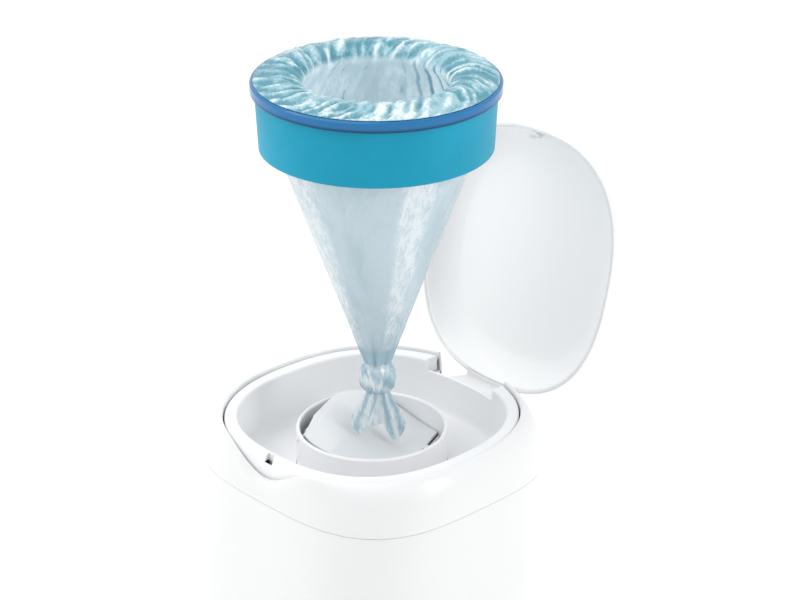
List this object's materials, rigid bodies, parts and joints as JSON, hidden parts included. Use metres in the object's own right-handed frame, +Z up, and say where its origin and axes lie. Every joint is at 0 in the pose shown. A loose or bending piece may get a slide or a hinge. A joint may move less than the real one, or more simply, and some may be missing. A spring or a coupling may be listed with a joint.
{
  "type": "nappy bin",
  "caption": "Free-standing nappy bin with a domed hinged lid, a sprung clamp flap, a tilting head and a lift-out film refill shown raised above its tray.",
  "frame": {"origin": "on the floor, straight below the axis of the round collar", "axes": "+Z up, -Y to the front with the finger scoop and the latch, +X to the right seen from the front"},
  "size_m": [0.2532, 0.3325, 0.7247],
  "materials": {
    "white_shell": "glossy injection-moulded white",
    "white_inner": "satin white inner parts",
    "pale_grey": "satin pale grey",
    "steel": "plain steel",
    "refill_blue": "glossy blue, slightly translucent",
    "label_turquoise": "plain turquoise sleeve",
    "film": "thin glossy pale blue film"
  },
  "bodies": {
    "bucket_body": {"bucket": "white_shell", "head_hinge_pin": "steel", "head_catch": "pale_grey"},
    "head": {"top_cover": "white_shell", "cassette_tray": "white_inner", "tray_screws": "steel", "latch_clip": "steel", "collar": "white_inner", "clamp_jaw": "pale_grey", "clamp_housing": "pale_grey", "housing_screws": "steel", "cutter_holder": "pale_grey", "cutter_blade": "steel", "lid_hinge_pin": "steel", "flap_pin": "steel", "flap_spring": "steel"},
    "lid": {"lid_shell": "white_shell", "lid_liner": "white_inner", "lid_hook": "pale_grey"},
    "flap": {"clamp_flap": "pale_grey"},
    "refill": {"cassette_tub": "refill_blue", "cassette_rim": "refill_blue", "cassette_label": "label_turquoise", "packed_film": "film", "film_top": "film", "film_bag": "film"}
  },
  "joints": [
    {"name": "head_tilt", "type": "hinge", "parent": "bucket_body", "child": "head", "pos_m": [0, 0.1214, 0.397], "axis": [-1, 0, 0], "range_deg": [0, 95]},
    {"name": "lid_hinge", "type": "hinge", "parent": "head", "child": "lid", "pos_m": [0, 0.111, 0.4185], "axis": [-1, 0, 0], "range_deg": [-103.6, 0]},
    {"name": "flap_swing", "type": "hinge", "parent": "head", "child": "flap", "pos_m": [-0.04221, -0.01879, 0.422], "axis": [-0.4067, 0.9135, 0], "range_deg": [0, 35], "stiffness_Nm_per_rad": 0.3, "deforming": ["flap_spring"]},
    {"name": "refill_lift", "type": "slide", "parent": "head", "child": "refill", "axis": [0.0119, 0.0127, 0.9998], "range_m": [-0.26844, 0], "deforming": ["film_bag"]}
  ]
}
